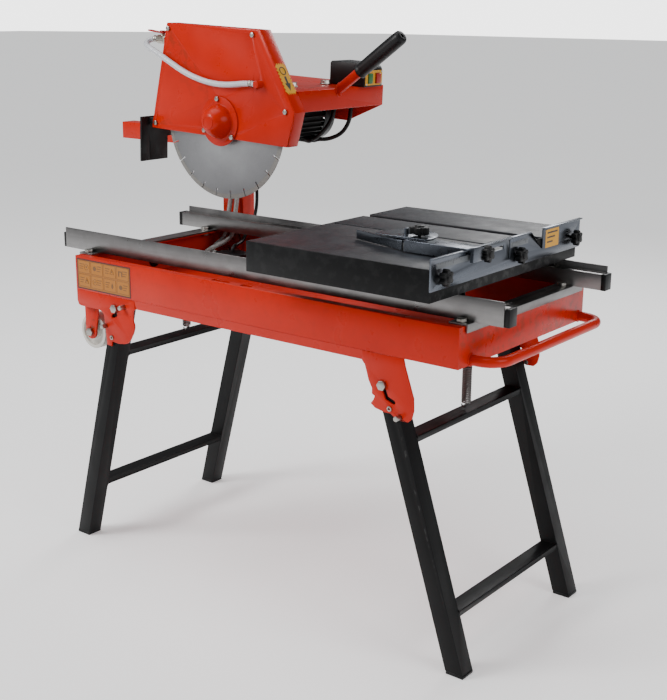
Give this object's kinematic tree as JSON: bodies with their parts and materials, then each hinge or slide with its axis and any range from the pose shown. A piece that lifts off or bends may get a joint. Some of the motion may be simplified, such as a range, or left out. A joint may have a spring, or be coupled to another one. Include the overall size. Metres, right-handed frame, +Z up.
{
  "type": "masonry saw",
  "caption": "Wet masonry table saw: blade on a tilting motor head over a water tub, rolling table with fence, folding legs",
  "frame": {"origin": "on the floor, under the middle of the whole saw's outline", "axes": "+X along the rails towards the fence end, +Y from the operator's side to the column, +Z up"},
  "size_m": [1.419, 0.714, 1.1708],
  "materials": {
    "orange_paint": "glossy sprayed enamel",
    "galvanised": "galvanised sheet, dull bright",
    "zinc_plate": "bluish zinc plated steel",
    "zinc_bolts": "zinc plated fasteners",
    "spring_steel": "oiled spring wire",
    "machined_steel": "turned steel",
    "blade_steel": "ground steel core with sintered rim",
    "black_plastic": "moulded plastic, fine grain",
    "black_paint": "semi-gloss black enamel",
    "motor_black": "painted finned casting",
    "core_iron": "laminated electrical steel",
    "grey_rubber": "ribbed rubber mat",
    "black_rubber": "soft rubber",
    "cable_black": "rubber cable sheath",
    "clear_hose": "clear flexible tube",
    "white_hose": "braided white hose",
    "white_nylon": "nylon",
    "brass": "cast brass",
    "red_plastic": "moulded plastic",
    "green_plastic": "moulded plastic"
  },
  "bodies": {
    "frame": {"tub": "orange_paint", "leg_brackets": "orange_paint", "carry_handle": "orange_paint", "cross_strips": "galvanised", "rail_front": "galvanised", "rail_back": "galvanised", "rail_caps": "black_plastic", "column": "orange_paint", "frame_bolts": "zinc_bolts", "water_pump": "black_plastic", "drain_plug": "black_plastic", "spring_left": "spring_steel", "spring_right": "spring_steel", "supply_hoses": "clear_hose", "pump_cable": "cable_black"},
    "left_legs": {"leg_frame_left": "black_paint", "feet_left": "black_plastic"},
    "right_legs": {"leg_frame_right": "black_paint", "feet_right": "black_plastic"},
    "front_wheel": {"wheel_front": "white_nylon"},
    "back_wheel": {"wheel_back": "white_nylon"},
    "carriage": {"table_tray": "black_paint", "table_mats": "grey_rubber", "roller_bolts": "zinc_bolts", "fence_plate": "zinc_plate"},
    "left_rollers": {"rollers_left": "white_nylon"},
    "right_rollers": {"rollers_right": "white_nylon"},
    "front_knob": {"fence_knob_front": "black_plastic"},
    "middle_knob": {"fence_knob_middle": "black_plastic"},
    "back_knob": {"fence_knob_back": "black_plastic"},
    "angle_stop": {"stop_arm": "zinc_plate"},
    "clamp_knob": {"stop_clamp_knob": "black_plastic"},
    "protractor": {"stop_plate": "zinc_plate"},
    "stop_knob": {"star_knob": "black_plastic"},
    "head": {"motor_plate": "orange_paint", "pivot_shaft": "machined_steel", "head_bolts": "zinc_bolts", "guard_shell": "orange_paint", "guard_cover": "orange_paint", "hub_cover": "orange_paint", "splash_flap": "black_rubber", "motor_hood": "orange_paint", "motor_housing": "motor_black", "motor_shields": "motor_black", "fan_cover": "black_plastic", "stator": "core_iron", "bearings": "machined_steel", "lift_handle": "orange_paint", "handle_grip": "black_rubber", "switch_box": "black_plastic", "water_valve": "brass", "spray_hose": "white_hose", "motor_cables": "cable_black"},
    "arbor": {"blade": "blade_steel", "arbor_shaft": "machined_steel", "rotor_core": "core_iron", "cooling_fan": "black_plastic"},
    "lever": {"valve_lever": "red_plastic"},
    "start": {"start_button": "green_plastic"},
    "stop": {"stop_button": "red_plastic"}
  },
  "joints": [
    {"name": "head_tilt", "type": "hinge", "parent": "frame", "child": "head", "pos_m": [-0.3225, 0.208, 1.015], "axis": [0, -1, 0], "range_deg": [-12, 50], "deforming": ["supply_hoses"]},
    {"name": "blade_spin", "type": "hinge", "parent": "head", "child": "arbor", "pos_m": [-0.19246, 0.023, 0.95854], "axis": [0, 1, 0], "continuous": true},
    {"name": "table_slide", "type": "slide", "parent": "frame", "child": "carriage", "axis": [1, 0, 0], "range_m": [-0.495, 0.05]},
    {"name": "left_roller_turn", "type": "hinge", "parent": "carriage", "child": "left_rollers", "pos_m": [0.2445, -0.043, 0.734], "axis": [0, 1, 0], "range_deg": [-1500, 150]},
    {"name": "right_roller_turn", "type": "hinge", "parent": "carriage", "child": "right_rollers", "pos_m": [0.5695, -0.043, 0.734], "axis": [0, 1, 0], "range_deg": [-1500, 150]},
    {"name": "left_leg_fold", "type": "hinge", "parent": "frame", "child": "left_legs", "pos_m": [-0.243, -0.048, 0.5735], "axis": [0, -1, 0], "range_deg": [0, 104], "deforming": ["spring_left"]},
    {"name": "right_leg_fold", "type": "hinge", "parent": "frame", "child": "right_legs", "pos_m": [0.4735, -0.048, 0.541], "axis": [0, 1, 0], "range_deg": [0, 102], "deforming": ["spring_right"]},
    {"name": "front_wheel_turn", "type": "hinge", "parent": "frame", "child": "front_wheel", "pos_m": [-0.3455, -0.243, 0.501], "axis": [0, 1, 0], "continuous": true},
    {"name": "back_wheel_turn", "type": "hinge", "parent": "frame", "child": "back_wheel", "pos_m": [-0.3455, 0.147, 0.501], "axis": [0, 1, 0], "continuous": true},
    {"name": "front_knob_turn", "type": "hinge", "parent": "carriage", "child": "front_knob", "pos_m": [0.6245, -0.325, 0.772], "axis": [1, 0, 0], "continuous": true},
    {"name": "middle_knob_turn", "type": "hinge", "parent": "carriage", "child": "middle_knob", "pos_m": [0.6245, -0.069, 0.771], "axis": [1, 0, 0], "continuous": true},
    {"name": "back_knob_turn", "type": "hinge", "parent": "carriage", "child": "back_knob", "pos_m": [0.6245, 0.148, 0.773], "axis": [1, 0, 0], "continuous": true},
    {"name": "stop_slide", "type": "slide", "parent": "carriage", "child": "angle_stop", "axis": [0, 1, 0], "range_m": [-0.005, 0.07]},
    {"name": "stop_clamp_turn", "type": "hinge", "parent": "angle_stop", "child": "clamp_knob", "pos_m": [0.6255, -0.193, 0.793], "axis": [1, 0, 0], "continuous": true},
    {"name": "stop_swing", "type": "hinge", "parent": "angle_stop", "child": "protractor", "pos_m": [0.4775, -0.223, 0.806], "axis": [0, 0, 1], "range_deg": [-25, 25]},
    {"name": "stop_knob_turn", "type": "hinge", "parent": "angle_stop", "child": "stop_knob", "pos_m": [0.5065, -0.223, 0.818], "axis": [0, 0, 1], "continuous": true},
    {"name": "valve_turn", "type": "hinge", "parent": "head", "child": "lever", "pos_m": [-0.38211, 0.023, 1.1505], "axis": [0.0401, 0, 0.9992], "range_deg": [0, 90]},
    {"name": "start_press", "type": "slide", "parent": "head", "child": "start", "axis": [-0.9992, 0, 0.0401], "range_m": [0, 0.002], "stiffness_N_per_m": 300, "springref_m": -0.001},
    {"name": "stop_press", "type": "slide", "parent": "head", "child": "stop", "axis": [-0.9992, 0, 0.0401], "range_m": [0, 0.003], "stiffness_N_per_m": 300, "springref_m": -0.001}
  ],
  "couplings": [
    {"joint": "left_roller_turn", "follows": "table_slide", "rad_per_m": 46.083},
    {"joint": "right_roller_turn", "follows": "table_slide", "rad_per_m": 46.083}
  ]
}
